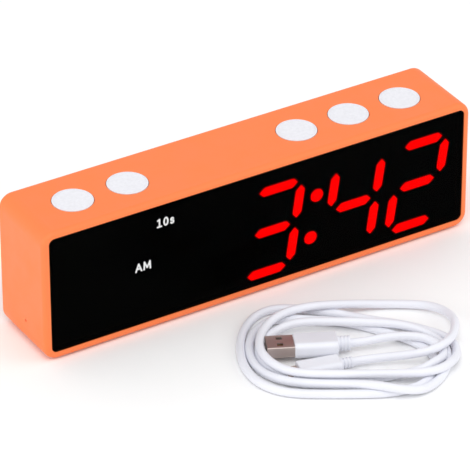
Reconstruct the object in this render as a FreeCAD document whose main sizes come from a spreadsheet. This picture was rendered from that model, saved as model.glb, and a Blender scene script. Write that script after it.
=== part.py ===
"""Desk alarm clock: a long orange case with a black front panel, five top buttons and its loose USB lead.

Row frame: millimetres, +X to the right along the case, +Y to the back, +Z up.
The origin is on the table, under the middle of the case.
"""
import FreeCAD, Part
import Sketcher
import math
import os

from FreeCAD import Placement, Rotation, Vector

doc = FreeCAD.newDocument("AlarmClock")
sizes = doc.addObject("Spreadsheet::Sheet", "Sizes")

# Driving dimensions, in millimetres and degrees.
DRIVING = [
    # case
    ("case_width", 200.0), ("case_depth", 37.0), ("case_height", 59.0),
    ("corner_round", 6.0), ("front_round", 2.1), ("back_round", 2.2), ("wall", 2.8),
    # front panel
    ("window_side_margin", 2.9), ("window_top_margin", 2.7), ("window_bottom_margin", 3.4),
    ("window_round", 2.6), ("lens_recess", 0.3), ("lens_thickness", 1.2), ("gasket_thickness", 0.2),
    ("ledge_width", 2.0), ("opening_round", 1.0), ("ledge_thickness", 1.8), ("lens_gap", 0.12),
    # display
    ("fit_gap", 0.2), ("film_gap", 0.1), ("frame_depth", 8.0), ("flange_thickness", 1.5),
    ("display_board_thickness", 1.6), ("digit_pitch", 31.0), ("colon_space", 7.6),
    ("digit_centre_x", 6.0), ("digit_centre_height", 27.3), ("digit_slant", 8.5),
    ("segment_width", 4.2), ("segment_tip", 2.3), ("segment_round", 0.2),
    ("end_bar_length", 18.2), ("middle_bar_length", 16.8), ("upright_length", 15.0),
    ("bar_spacing", 19.0), ("upright_spacing", 21.9), ("upright_height", 9.65),
    ("dot_diameter", 5.9), ("colon_shift", 0.3), ("inlay_gap", 0.05), ("inlay_ledge", 0.35),
    ("letter_web", 0.8), ("diffuser_thickness", 2.0), ("display_screw_gap", 0.47),
    ("led_width", 2.0), ("led_height", 1.25), ("led_thickness", 0.8),
    ("letter_height", 4.1), ("letter_stroke", 0.7), ("letter_thickness", 1.0),
    ("am_x", -54.2), ("am_height", 29.8), ("ten_x", -43.7), ("ten_height", 47.5),
    # buttons
    ("button_space", 8.0), ("button_outer_x", 76.6), ("button_row_y", -1.0),
    ("cap_diameter", 16.8), ("cap_gap", 0.25), ("cap_proud", 0.3), ("cap_flange", 1.0),
    ("cap_flange_thickness", 1.1), ("cap_skin", 1.6), ("cap_dish", 0.2), ("cap_rim", 0.65),
    ("cap_stop_gap", 0.08), ("cap_post_diameter", 3.4), ("button_travel", 0.5),
    ("switch_side", 6.0), ("switch_height", 3.5), ("plunger_diameter", 3.0),
    ("plunger_height", 1.4), ("running_gap", 0.1), ("plunger_depth", 0.9), ("well_depth", 1.6),
    ("cap_wall", 1.2), ("cap_edge_round", 0.25),
    # boards
    ("board_thickness", 1.6), ("button_board_width", 172.0), ("button_board_depth", 17.0),
    ("button_board_y", 2.2), ("main_board_width", 130.0), ("main_board_depth", 20.0),
    ("main_board_y", 4.0), ("main_board_height", 7.4), ("standoff_diameter", 4.6),
    ("board_screw_inset", 4.0),
    ("small_screw_diameter", 1.7), ("small_screw_head", 3.4), ("small_screw_length", 5.0),
    # chips, pin strip, sockets and ribbon
    ("mcu_side", 7.0), ("mcu_height", 1.0), ("mcu_x", 12.0), ("driver_side", 5.0),
    ("driver_height", 0.9), ("driver_x", -18.0), ("chip_lift", 0.1), ("chip_pin_width", 0.3),
    ("chip_pin_height", 0.4), ("chip_pin_reach", 0.8), ("chip_dimple_diameter", 0.8),
    ("chip_dimple_depth", 0.1), ("header_length", 21.0), ("header_side", 2.5), ("header_pin", 0.64),
    ("header_pitch", 2.54), ("socket_length", 7.5), ("socket_depth", 4.0), ("socket_height", 4.0),
    ("socket_inset", 11.0), ("ribbon_width", 6.0), ("ribbon_thickness", 0.5),
    # back
    ("cover_thickness", 2.2), ("cover_recess", 0.6), ("boss_diameter", 7.2), ("boss_start", 20.5),
    ("cover_screw_diameter", 2.2), ("cover_screw_head", 4.4), ("cover_screw_length", 9.0),
    ("head_thickness", 1.4), ("pillar_diameter", 4.0), ("port_x", 58.0), ("port_width", 7.6),
    ("port_height", 2.7), ("port_depth", 5.6), ("port_mouth_gap", 1.2), ("buzzer_x", -38.0),
    ("buzzer_diameter", 12.0), ("buzzer_height", 5.5), ("buzzer_offset", 2.5),
    ("buzzer_hole_diameter", 2.0), ("buzzer_hole_depth", 0.8), ("slot_width", 1.2),
    ("slot_length", 9.0), ("port_wall", 0.3), ("port_tongue_thickness", 0.7),
    ("port_tongue_gap", 1.0), ("port_slot_round", 0.8), ("cover_edge_round", 0.4),
    # power
    ("cell_diameter", 18.4), ("cell_length", 65.0), ("cell_x", -8.0), ("cradle_gap", 0.48),
    ("cell_height", 28.5), ("cradle_wall", 1.6), ("wire_diameter", 1.4), ("cell_knob_diameter", 5.5),
    ("cell_knob_height", 1.0), ("wire_spacing", 2.4), ("wire_rise", 4.5), ("wire_step", 3.0),
    ("battery_socket_gap", 6.0),
    # microphone
    ("mic_hole_diameter", 1.1), ("mic_y", -2.6), ("mic_height", 11.8), ("mic_diameter", 5.0),
    ("mic_thickness", 2.7), ("boot_wall", 0.9), ("socket_wall", 1.0),
    # feet
    ("foot_diameter", 8.0), ("foot_thickness", 1.0), ("foot_proud", 0.5), ("foot_inset", 14.0),
    ("foot_row", 10.0),
    # lead
    ("lead_turn", -31.0), ("cord_diameter", 3.5), ("coil_length", 89.0), ("coil_width", 68.5),
    ("coil_height", 7.0), ("coil_round", 27.0), ("coil_middle_u", 34.0), ("coil_middle_v", -44.8),
    ("nest_right", 60.0), ("nest_near", -66.3), ("nest_far", -31.0), ("nest_round", 3.0),
    ("nest_gap", 1.2), ("tail_run", 12.5),
    ("usb_a_u", 34.6), ("usb_a_v", -43.4), ("usb_a_axis_height", 4.35),
    ("small_plug_u", 35.3), ("small_plug_v", -54.5), ("small_plug_axis_height", 2.85),
    ("usb_a_width", 12.0), ("usb_a_thickness", 4.5), ("usb_a_length", 11.0), ("usb_a_wall", 0.35),
    ("usb_a_yaw", 5.0), ("usb_a_roll", 8.5), ("usb_a_window", 2.4), ("usb_a_window_spacing", 5.7),
    ("usb_a_grip_length", 17.4), ("usb_a_grip_width", 13.0), ("usb_a_grip_thickness", 6.5),
    ("small_plug_width", 6.85), ("small_plug_thickness", 1.8), ("small_plug_length", 5.0),
    ("small_plug_wall", 0.3), ("small_plug_yaw", 17.5),
    ("small_grip_length", 17.4), ("small_grip_width", 9.4), ("small_grip_thickness", 5.6),
    ("grip_round", 2.2), ("grip_end_round", 0.6),
    ("relief_length", 5.0), ("usb_a_relief_diameter", 6.2), ("small_relief_diameter", 4.4),
    ("relief_groove", 0.6), ("relief_groove_depth", 0.35), ("plug_tongue_thickness", 1.9),
    ("contact_width", 1.0), ("contact_thickness", 0.2), ("contact_pitch", 2.4),
    ("contact_setback", 2.0), ("shell_round", 0.5), ("shell_inner_round", 0.2),
    ("usb_a_window_place", 5.7), ("tongue_side_gap", 0.25), ("tongue_setback", 0.5),
    ("small_tongue_thickness", 0.6), ("small_tongue_side_gap", 0.6),
]
for row, (alias, value) in enumerate(DRIVING, start=1):
    sizes.set(f"A{row}", alias)
    sizes.set(f"B{row}", str(value))
    sizes.setAlias(f"B{row}", alias)
doc.recompute()


def mm(alias):
    """Value of a driving dimension."""
    return float(getattr(sizes, alias))


def of(text):
    """Expression over the sheet: every word in braces is a driving dimension."""
    return text.replace("{", "Sizes.").replace("}", "")


gauge = doc.addObject("App::FeaturePython", "Gauge")
gauge.addProperty("App::PropertyFloat", "Reading")


def value(expression):
    """Value of an expression over the sheet."""
    gauge.setExpression("Reading", of(expression))
    gauge.recompute()
    return float(gauge.Reading)


CASE_MIDDLE = "({foot_proud} + {case_height} / 2)"
CASE_TOP = "({foot_proud} + {case_height})"
BUTTON_PITCH = "({cap_diameter} + {button_space})"
LEDGE_FRONT = "({lens_recess} + {lens_thickness} + {gasket_thickness})"
LEDGE_BACK = "(" + LEDGE_FRONT + " + {ledge_thickness})"
FILM_FRONT = "({lens_recess} + {lens_thickness} + {lens_gap})"
FRAME_BACK = "(" + FILM_FRONT + " + {frame_depth})"
DISPLAY_BOARD_BACK = "(" + FRAME_BACK + " + {display_board_thickness})"
COVER_INSIDE = "({case_depth} - {cover_recess} - {cover_thickness})"
WINDOW_WIDTH = "({case_width} - 2 * {window_side_margin})"
WINDOW_HEIGHT = "({case_height} - {window_top_margin} - {window_bottom_margin})"
WINDOW_MIDDLE = "({foot_proud} + {window_bottom_margin} + " + WINDOW_HEIGHT + " / 2)"
OPENING_WIDTH = "(" + WINDOW_WIDTH + " - 2 * {ledge_width})"
OPENING_HEIGHT = "(" + WINDOW_HEIGHT + " - 2 * {ledge_width})"
ROOM_ROUND = "({corner_round} - {wall})"
ROOM_WIDTH = "({case_width} - 2 * {wall})"
ROOM_HEIGHT = "({case_height} - 2 * {wall})"
SCREW_X = "(" + ROOM_WIDTH + " / 2 - {boss_diameter} / 2 + 0.4)"
SCREW_Z = "(" + ROOM_HEIGHT + " / 2 - {boss_diameter} / 2 + 0.4)"
BUTTON_BOARD_TOP = ("(" + CASE_TOP + " - {wall} - {cap_stop_gap} - {cap_flange_thickness}"
                    " - {plunger_height} - {switch_height})")
DISPLAY_SCREW_LEVEL = ("(" + BUTTON_BOARD_TOP + " - {board_thickness} - {display_screw_gap}"
                       " - {small_screw_head} / 2 - " + WINDOW_MIDDLE + ")")
FOOT_X = "({case_width} / 2 - {foot_inset})"
MIC_BOOT = "({mic_diameter} + 2 * {boot_wall})"
MAIN_BOARD_TOP = "({main_board_height} + {board_thickness})"
CELL_Y = ("(" + DISPLAY_BOARD_BACK + " - {case_depth} / 2 + {cradle_gap} + {cradle_wall}"
          " + {cell_diameter} / 2)")
COVER_Y = "(" + COVER_INSIDE + " - {case_depth} / 2)"
NEST_LEFT = "({usb_a_u} - {relief_length} - {usb_a_grip_length} - {usb_a_length} - {nest_gap})"

# Button centres, left to right.
BUTTON_X = {
    1: "-{button_outer_x}",
    2: "-{button_outer_x} + " + BUTTON_PITCH,
    3: "{button_outer_x} - 2 * " + BUTTON_PITCH,
    4: "{button_outer_x} - " + BUTTON_PITCH,
    5: "{button_outer_x}",
}
BETWEEN_BUTTONS = "({button_outer_x} - " + BUTTON_PITCH + " / 2)"
BUTTON_BOARD_SCREWS = [(sign + BETWEEN_BUTTONS, "{button_board_y} + " + offset)
                       for sign in ("-", "") for offset in ("5", "(-5)")] + [("0", "{button_board_y}")]
BOARD_SCREW_X = "({main_board_width} / 2 - {board_screw_inset})"
BOARD_SCREW_Y = "({main_board_depth} / 2 - {board_screw_inset})"
MAIN_BOARD_SCREWS = [("-" + BOARD_SCREW_X, "{main_board_y} - " + BOARD_SCREW_Y),
                     ("-" + BOARD_SCREW_X, "{main_board_y} + " + BOARD_SCREW_Y),
                     (BOARD_SCREW_X, "{main_board_y} - " + BOARD_SCREW_Y),
                     ("{port_x} - 14", "{main_board_y} + " + BOARD_SCREW_Y)]
PILLARS = [(sign + "({main_board_width} / 2 + 9)", CASE_MIDDLE) for sign in ("-", "")]
DISPLAY_SCREWS = [(x, WINDOW_MIDDLE + z) for x in ("-({case_width} / 2 - 12)", "-({digit_pitch} * 1.5 + 2)",
                                                   "({case_width} / 2 - 7.4)")
                  for z in (" + " + DISPLAY_SCREW_LEVEL, " - " + DISPLAY_SCREW_LEVEL)]

# Seven-segment display: side of the digit and level of each segment.
SEGMENTS = {"a": (0, 1), "b": (1, 1), "c": (1, -1), "d": (0, -1), "e": (-1, -1), "f": (-1, 1), "g": (0, 0)}
DIGIT_X = {
    "hour_tens": mm("digit_centre_x") - mm("digit_pitch"),
    "hour_ones": mm("digit_centre_x"),
    "minute_tens": mm("digit_centre_x") + mm("digit_pitch") + mm("colon_space"),
    "minute_ones": mm("digit_centre_x") + 2 * mm("digit_pitch") + mm("colon_space"),
}
LIT = {"hour_tens": "", "hour_ones": "abgcd", "minute_tens": "fgbc", "minute_ones": "abged"}
WORDS = [("AM", "am_x", "am_height"), ("10s", "ten_x", "ten_height")]


# ---------------------------------------------------------------- helpers: Part Design

def new_body(label, front_view=False):
    """A body; with front_view its sketches are drawn as seen from the front, z towards the viewer."""
    body = doc.addObject("PartDesign::Body", label)
    body.Label = label
    if front_view:
        body.Placement = Placement(Vector(0, 0, 0), Rotation(Vector(1, 0, 0), 90))
        body.setExpression("Placement.Base.y", of("-{case_depth} / 2"))
    return body


def new_sketch(body, height="0", plane_role="XY_Plane"):
    plane = [f for f in body.Origin.OriginFeatures if f.Role == plane_role][0]
    sketch = body.newObject("Sketcher::SketchObject", body.Name + "_sketch")
    sketch.AttachmentSupport = (plane, [""])
    sketch.MapMode = "FlatFace"
    sketch.setExpression("AttachmentOffset.Base.z", of(height))
    return sketch


def dimension(sketch, kind, places, expression, start=1.0):
    """Adds a driving constraint and binds it to the sheet."""
    index = sketch.addConstraint(Sketcher.Constraint(kind, *places, start))
    name = f"size_{index}"
    sketch.renameConstraint(index, name)
    sketch.setExpression(".Constraints." + name, of(expression))


def rectangle(sketch, width, height, x="0", y="0"):
    """A rectangle of bound size about a bound centre."""
    first = sketch.GeometryCount
    corners = [Vector(-1, -1, 0), Vector(1, -1, 0), Vector(1, 1, 0), Vector(-1, 1, 0)]
    for i in range(4):
        sketch.addGeometry(Part.LineSegment(corners[i], corners[(i + 1) % 4]), False)
    for i in range(4):
        sketch.addConstraint(Sketcher.Constraint("Coincident", first + i, 2, first + (i + 1) % 4, 1))
    for i, kind in enumerate(["Horizontal", "Vertical", "Horizontal", "Vertical"]):
        sketch.addConstraint(Sketcher.Constraint(kind, first + i))
    dimension(sketch, "DistanceX", (first, 1, first, 2), width)
    dimension(sketch, "DistanceY", (first + 1, 1, first + 1, 2), height)
    dimension(sketch, "DistanceX", (-1, 1, first, 1), f"({x}) - ({width}) / 2")
    dimension(sketch, "DistanceY", (-1, 1, first, 1), f"({y}) - ({height}) / 2")


def rounded_rectangle(sketch, width, height, round_size, x="0", y="0"):
    """A rectangle with round corners, of bound size about a bound centre."""
    half_w, half_h, r = value(width) / 2, value(height) / 2, value(round_size)
    middle = Vector(value(x), value(y), 0)
    first = sketch.GeometryCount
    sides = [((-half_w + r, -half_h), (half_w - r, -half_h)), ((half_w, -half_h + r), (half_w, half_h - r)),
             ((half_w - r, half_h), (-half_w + r, half_h)), ((-half_w, half_h - r), (-half_w, -half_h + r))]
    for start, end in sides:
        sketch.addGeometry(Part.LineSegment(middle + Vector(*start, 0), middle + Vector(*end, 0)), False)
    corners = [(1, -1, -90), (1, 1, 0), (-1, 1, 90), (-1, -1, 180)]
    for x_side, y_side, start in corners:
        centre = middle + Vector(x_side * (half_w - r), y_side * (half_h - r), 0)
        round_corner = Part.Circle(centre, Vector(0, 0, 1), r)
        first_angle = math.radians(start)
        sketch.addGeometry(Part.ArcOfCircle(round_corner, first_angle, first_angle + math.pi / 2), False)
    for i, kind in enumerate(["Horizontal", "Vertical", "Horizontal", "Vertical"]):
        sketch.addConstraint(Sketcher.Constraint(kind, first + i))
        sketch.addConstraint(Sketcher.Constraint("Tangent", first + i, 2, first + 4 + i, 1))
        sketch.addConstraint(Sketcher.Constraint("Tangent", first + 4 + i, 2, first + (i + 1) % 4, 1))
    for i in range(1, 4):
        sketch.addConstraint(Sketcher.Constraint("Equal", first + 4, first + 4 + i))
    dimension(sketch, "Radius", (first + 4,), round_size, r)
    dimension(sketch, "DistanceX", (first + 3, 1, first + 1, 1), width, 2 * half_w)
    dimension(sketch, "DistanceY", (first, 1, first + 2, 1), height, 2 * half_h)
    dimension(sketch, "DistanceX", (-1, 1, first + 3, 1), f"({x}) - ({width}) / 2", middle.x - half_w)
    dimension(sketch, "DistanceY", (-1, 1, first, 1), f"({y}) - ({height}) / 2", middle.y - half_h)


def circle(sketch, diameter, x="0", y="0"):
    """A circle of bound diameter about a bound centre."""
    index = sketch.addGeometry(Part.Circle(Vector(0, 0, 0), Vector(0, 0, 1), 1.0), False)
    dimension(sketch, "Diameter", (index,), diameter)
    dimension(sketch, "DistanceX", (-1, 1, index, 3), x)
    dimension(sketch, "DistanceY", (-1, 1, index, 3), y)


def pad(body, sketch, length):
    feature = body.newObject("PartDesign::Pad", body.Name + "_pad")
    feature.Profile = sketch
    feature.setExpression("Length", of(length))
    doc.recompute()
    return feature


def pocket(body, sketch, length):
    """Cuts from the sketch towards lower z, and makes sure that it did cut."""
    before = body.Shape.Volume
    feature = body.newObject("PartDesign::Pocket", body.Name + "_pocket")
    feature.Profile = sketch
    feature.setExpression("Length", of(length))
    doc.recompute()
    if body.Shape.Volume > before - 1e-3:
        raise RuntimeError(feature.Name + " cuts nothing")
    return feature


def edges_where(body, test):
    """Names of the edges whose bounding box passes the test."""
    return [f"Edge{i}" for i, edge in enumerate(body.Tip.Shape.Edges, start=1) if test(edge.BoundBox)]


def fillet(body, names, radius, kind="Fillet"):
    base = body.Tip
    feature = body.newObject("PartDesign::" + kind, body.Name + "_" + kind.lower())
    feature.Base = (base, names)
    feature.setExpression("Radius" if kind == "Fillet" else "Size", of(radius))
    doc.recompute()
    return feature


def upright(box, span=0.0):
    """True for an edge along z that is longer than span."""
    return box.XLength < 1e-4 and box.YLength < 1e-4 and box.ZLength > span


def level(box, z):
    """True for an edge that lies at height z."""
    return abs(box.ZMin - z) < 1e-4 and abs(box.ZMax - z) < 1e-4


# ---------------------------------------------------------------- helpers: Part

def box(label, size, low):
    """A box of bound size from a bound low corner."""
    solid = doc.addObject("Part::Box", label)
    for name, expression in zip(("Length", "Width", "Height"), size):
        solid.setExpression(name, of(expression))
    for name, expression in zip("xyz", low):
        solid.setExpression("Placement.Base." + name, of(expression))
    return solid


def cylinder(label, diameter, length, base, axis=(0, 0, 1)):
    """A cylinder of bound size from a bound base point, along an axis."""
    solid = doc.addObject("Part::Cylinder", label)
    solid.Placement = Placement(Vector(0, 0, 0), Rotation(Vector(0, 0, 1), Vector(*axis)))
    solid.setExpression("Radius", of(f"({diameter}) / 2"))
    solid.setExpression("Height", of(length))
    for name, expression in zip("xyz", base):
        solid.setExpression("Placement.Base." + name, of(expression))
    return solid


def cut(label, base, tools):
    tool = tools[0]
    if len(tools) > 1:
        tool = doc.addObject("Part::MultiFuse", label + "_tools")
        tool.Shapes = tools
    result = doc.addObject("Part::Cut", label)
    result.Base = base
    result.Tool = tool
    return result


def fuse(label, pieces):
    result = doc.addObject("Part::MultiFuse", label)
    result.Shapes = pieces
    return result


def group(label, pieces):
    result = doc.addObject("Part::Compound", label)
    result.Links = pieces
    return result


def fixed_shape(label, shape, placement=None):
    """A shape worked out from the sheet by Part's own functions."""
    feature = doc.addObject("Part::Feature", label)
    feature.Shape = shape
    if placement is not None:
        feature.Placement = placement
    return feature


NODES = []


def node(piece, label=None):
    """Marks a finished sub-part, which is written to its own file."""
    piece.Label = label or piece.Label
    NODES.append(piece)
    return piece


def screw(label, shaft, head, length, head_height, base, axis):
    """A screw whose head starts at base, with its shaft along axis and a cross recess in the head."""
    step = [f"({b}) + ({head_height}) * {a}" for b, a in zip(base, axis)]
    head_disc = cylinder(label + "_head", head, head_height, base, axis)
    shaft_rod = cylinder(label + "_shaft", shaft, length, step, axis)
    recess = cylinder(label + "_recess", head + " * 0.4", head_height + " * 0.6", base, axis)
    return cut(label, fuse(label + "_blank", [head_disc, shaft_rod]), [recess])


# ---------------------------------------------------------------- case and front panel

def case_shell():
    """Orange case: rounded block, hollow from the back, with a ledge that carries the front panel."""
    body = new_body("case_shell", front_view=True)
    depth = "{case_depth}"
    outline = new_sketch(body, "-" + depth)
    rectangle(outline, "{case_width}", "{case_height}", y=CASE_MIDDLE)
    pad(body, outline, depth)
    fillet(body, edges_where(body, upright), "{corner_round}")
    fillet(body, edges_where(body, lambda b: level(b, 0)), "{front_round}")
    fillet(body, edges_where(body, lambda b: level(b, -mm("case_depth"))), "{back_round}")
    seat = new_sketch(body)
    rounded_rectangle(seat, WINDOW_WIDTH, WINDOW_HEIGHT, "{window_round}", y=WINDOW_MIDDLE)
    pocket(body, seat, LEDGE_FRONT)
    opening = new_sketch(body)
    rounded_rectangle(opening, OPENING_WIDTH, OPENING_HEIGHT, "{opening_round}", y=WINDOW_MIDDLE)
    pocket(body, opening, LEDGE_BACK)
    room = new_sketch(body, "-" + LEDGE_BACK)
    rounded_rectangle(room, ROOM_WIDTH, ROOM_HEIGHT, ROOM_ROUND, y=CASE_MIDDLE)
    pocket(body, room, depth)
    bosses = new_sketch(body, "-" + COVER_INSIDE)
    for x_sign in ("-", ""):
        for z_sign in ("-", ""):
            circle(bosses, "{boss_diameter}", x_sign + SCREW_X, f"{CASE_MIDDLE} + {z_sign}{SCREW_Z}")
    pad(body, bosses, COVER_INSIDE + " - {boss_start}")
    pilots = new_sketch(body, "-" + COVER_INSIDE + " + {cover_screw_length}")
    for x_sign in ("-", ""):
        for z_sign in ("-", ""):
            circle(pilots, "{cover_screw_diameter}", x_sign + SCREW_X, f"{CASE_MIDDLE} + {z_sign}{SCREW_Z}")
    pocket(body, pilots, "{cover_screw_length} + 1")
    return body


def case_openings(body):
    """Button holes, microphone hole and socket, board standoffs and foot recesses of the case."""
    top_inside = CASE_TOP + " - {wall}"
    holes = new_sketch(body, f"-({top_inside} - 1)", "XZ_Plane")
    for x in BUTTON_X.values():
        circle(holes, "{cap_diameter} + 2 * {cap_gap}", x, "-({button_row_y} + {case_depth} / 2)")
    pocket(body, holes, "{wall} + 2")

    hangers = new_sketch(body, f"-({top_inside})", "XZ_Plane")
    for x, y in BUTTON_BOARD_SCREWS:
        circle(hangers, "{standoff_diameter}", x, f"-({y} + {{case_depth}} / 2)")
    pad(body, hangers, f"{top_inside} - {BUTTON_BOARD_TOP}")
    hanger_pilots = new_sketch(body, f"-({BUTTON_BOARD_TOP})", "XZ_Plane")
    for x, y in BUTTON_BOARD_SCREWS:
        circle(hanger_pilots, "{small_screw_diameter}", x, f"-({y} + {{case_depth}} / 2)")
    pocket(body, hanger_pilots, "{small_screw_length}")

    stands = new_sketch(body, "-{main_board_height}", "XZ_Plane")
    for x, y in MAIN_BOARD_SCREWS:
        circle(stands, "{standoff_diameter}", x, f"-({y} + {{case_depth}} / 2)")
    pad(body, stands, "{main_board_height} - {foot_proud} - {wall}")
    stand_pilots = new_sketch(body, "-({main_board_height} - {small_screw_length} + {board_thickness})",
                              "XZ_Plane")
    for x, y in MAIN_BOARD_SCREWS:
        circle(stand_pilots, "{small_screw_diameter}", x, f"-({y} + {{case_depth}} / 2)")
    pocket(body, stand_pilots, "{small_screw_length}")

    left_inside = "-{case_width} / 2 + {wall}"
    mic_z = "-({mic_y} + {case_depth} / 2)"
    socket = new_sketch(body, left_inside, "YZ_Plane")
    circle(socket, MIC_BOOT + " + 2 * {socket_wall}", "{mic_height}", mic_z)
    circle(socket, MIC_BOOT, "{mic_height}", mic_z)
    pad(body, socket, "{mic_thickness} + {boot_wall}")
    mic_hole = new_sketch(body, left_inside + " + 1", "YZ_Plane")
    circle(mic_hole, "{mic_hole_diameter}", "{mic_height}", mic_z)
    pocket(body, mic_hole, "{wall} + 2")

    recesses = new_sketch(body, "0", "XZ_Plane")
    for x in ("-" + FOOT_X, FOOT_X):
        for y in ("-{foot_row}", "{foot_row}"):
            circle(recesses, "{foot_diameter} + {fit_gap}", x, f"-({y} + {{case_depth}} / 2)")
    pocket(body, recesses, "{foot_thickness}")


def front_lens():
    """Black front panel that sits a little below the case's front edge."""
    body = new_body("front_lens", front_view=True)
    outline = new_sketch(body, "-({lens_recess} + {lens_thickness})")
    rounded_rectangle(outline, WINDOW_WIDTH + " - {fit_gap}", WINDOW_HEIGHT + " - {fit_gap}",
                      "{window_round} - {fit_gap} / 2", y=WINDOW_MIDDLE)
    pad(body, outline, "{lens_thickness}")
    return body


def lens_gasket():
    """Adhesive frame between the front panel and the case's ledge."""
    body = new_body("lens_gasket", front_view=True)
    ring = new_sketch(body, "-" + LEDGE_FRONT)
    rounded_rectangle(ring, WINDOW_WIDTH + " - {fit_gap}", WINDOW_HEIGHT + " - {fit_gap}",
                      "{window_round} - {fit_gap} / 2", y=WINDOW_MIDDLE)
    rounded_rectangle(ring, OPENING_WIDTH + " + {fit_gap}", OPENING_HEIGHT + " + {fit_gap}",
                      "{opening_round}", y=WINDOW_MIDDLE)
    pad(body, ring, "{gasket_thickness}")
    return body


def rear_cover():
    """Orange back plate with screw holes, port slot, sound slots and the pillars that hold the display."""
    body = new_body("rear_cover", front_view=True)
    outside = "-({case_depth} - {cover_recess})"
    plate = new_sketch(body, outside)
    rounded_rectangle(plate, ROOM_WIDTH + " - 2 * {fit_gap}", ROOM_HEIGHT + " - 2 * {fit_gap}",
                      ROOM_ROUND + " - {fit_gap}", y=CASE_MIDDLE)
    pad(body, plate, "{cover_thickness}")
    outer_face = mm("cover_recess") - mm("case_depth")
    fillet(body, edges_where(body, lambda b: level(b, outer_face)), "{cover_edge_round}")
    pillars = new_sketch(body, "-" + COVER_INSIDE)
    for x, z in PILLARS:
        circle(pillars, "{pillar_diameter}", x, z)
    pad(body, pillars, f"{COVER_INSIDE} - {DISPLAY_BOARD_BACK} - {{film_gap}}")
    shafts = new_sketch(body, "-" + COVER_INSIDE)
    heads = new_sketch(body, outside + " + {head_thickness}")
    for x_sign in ("-", ""):
        for z_sign in ("-", ""):
            place = (x_sign + SCREW_X, f"{CASE_MIDDLE} + {z_sign}{SCREW_Z}")
            circle(shafts, "{cover_screw_diameter} + {fit_gap}", *place)
            circle(heads, "{cover_screw_head} + 2 * {fit_gap}", *place)
    pocket(body, shafts, "{cover_thickness} + 1")
    pocket(body, heads, "{head_thickness} + 1")
    slots = new_sketch(body, "-" + COVER_INSIDE)
    rounded_rectangle(slots, "{port_width} + 4 * {fit_gap}", "{port_height} + 4 * {fit_gap}",
                      "{port_slot_round}",
                      "{port_x}", MAIN_BOARD_TOP + " + {port_height} / 2")
    for step in (-1, 0, 1):
        rounded_rectangle(slots, "{slot_width}", "{slot_length}", "{slot_width} / 2 - 0.05",
                          f"{{buzzer_x}} + {step} * 3 * {{slot_width}}", MAIN_BOARD_TOP + " + {slot_length}")
    pocket(body, slots, "{cover_thickness} + 1")
    return body


def rear_cover_screws():
    pieces = []
    for x_sign in ("-", ""):
        for z_sign in ("-", ""):
            base = (x_sign + SCREW_X, "{case_depth} / 2 - {cover_recess}",
                    f"{CASE_MIDDLE} + {z_sign}{SCREW_Z}")
            pieces.append(screw(f"cover_screw_{len(pieces)}", "{cover_screw_diameter}", "{cover_screw_head}",
                                "{cover_screw_length} - {head_thickness}", "{head_thickness}", base,
                                (0, -1, 0)))
    return group("rear_cover_screws", pieces)


def rubber_feet():
    pieces = []
    for x in ("-" + FOOT_X, FOOT_X):
        for y in ("-{foot_row}", "{foot_row}"):
            pieces.append(cylinder(f"foot_{len(pieces)}", "{foot_diameter}", "{foot_thickness}",
                                   (x, y, "0")))
    return group("rubber_feet", pieces)


# ---------------------------------------------------------------- display

def outline_prism(points, front, depth, corner=0.0):
    """Extrudes an outline, drawn in x and z, from the plane y = front towards the back."""
    loop = [Vector(x, front, z) for x, z in points]
    face = Part.Face(Part.makePolygon(loop + loop[:1]))
    solid = face.extrude(Vector(0, depth, 0))
    if corner > 0:
        edges = [e for e in solid.Edges if e.BoundBox.YLength > depth / 2]
        solid = solid.makeFillet(corner, edges)
    return solid


def bar_outline(length, width, tip, lying):
    """Six-sided bar with pointed ends about the origin, lying or upright."""
    points = [(-length / 2, 0), (-length / 2 + tip, -width / 2), (length / 2 - tip, -width / 2),
              (length / 2, 0), (length / 2 - tip, width / 2), (-length / 2 + tip, width / 2)]
    return points if lying else [(-z, x) for x, z in points]


def segment_outline(segment, digit_x, grow=0.0):
    """Outline of one segment of the digit whose middle bar is centred at digit_x."""
    side, level_up = SEGMENTS[segment]
    lying = side == 0
    length = mm("end_bar_length") if lying and level_up != 0 else mm("middle_bar_length")
    if not lying:
        length = mm("upright_length")
    x_middle = side * mm("upright_spacing") / 2
    z_middle = level_up * (mm("bar_spacing") if lying else mm("upright_height"))
    shear = math.tan(math.radians(mm("digit_slant")))
    outline = bar_outline(length + 2.4 * grow, mm("segment_width") + 2 * grow, mm("segment_tip"), lying)
    return [(digit_x + x_middle + x + (z_middle + z) * shear, mm("digit_centre_height") + z_middle + z)
            for x, z in outline]


def film_front():
    """Row y of the display's front face."""
    return value(FILM_FRONT) - mm("case_depth") / 2


def segment_prisms(segments, digit_x, front, depth, grow=0.0):
    return [outline_prism(segment_outline(name, digit_x, grow), front, depth, mm("segment_round"))
            for name in segments]


def colon_places():
    """Centres of the two colon dots."""
    middle = DIGIT_X["hour_ones"] + (mm("digit_pitch") + mm("colon_space")) / 2 + mm("colon_shift")
    shear = math.tan(math.radians(mm("digit_slant")))
    rise = mm("upright_height")
    return [(middle + side * rise * shear, mm("digit_centre_height") + side * rise) for side in (1, -1)]


def dot_prisms(front, depth, grow=0.0):
    radius = mm("dot_diameter") / 2 + grow
    return [Part.makeCylinder(radius, depth, Vector(x, front, z), Vector(0, 1, 0))
            for x, z in colon_places()]


def stroke(points, width, front, depth):
    """A pen stroke of even width with round ends and joints."""
    solid = None
    for (x0, z0), (x1, z1) in zip(points, points[1:]):
        length = math.hypot(x1 - x0, z1 - z0)
        nx, nz = -(z1 - z0) / length * width / 2, (x1 - x0) / length * width / 2
        piece = outline_prism([(x0 + nx, z0 + nz), (x1 + nx, z1 + nz),
                               (x1 - nx, z1 - nz), (x0 - nx, z0 - nz)],
                              front, depth)
        for x, z in ((x0, z0), (x1, z1)):
            piece = piece.fuse(Part.makeCylinder(width / 2, depth, Vector(x, front, z), Vector(0, 1, 0)))
        solid = piece if solid is None else solid.fuse(piece)
    return solid.removeSplitter()


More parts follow.
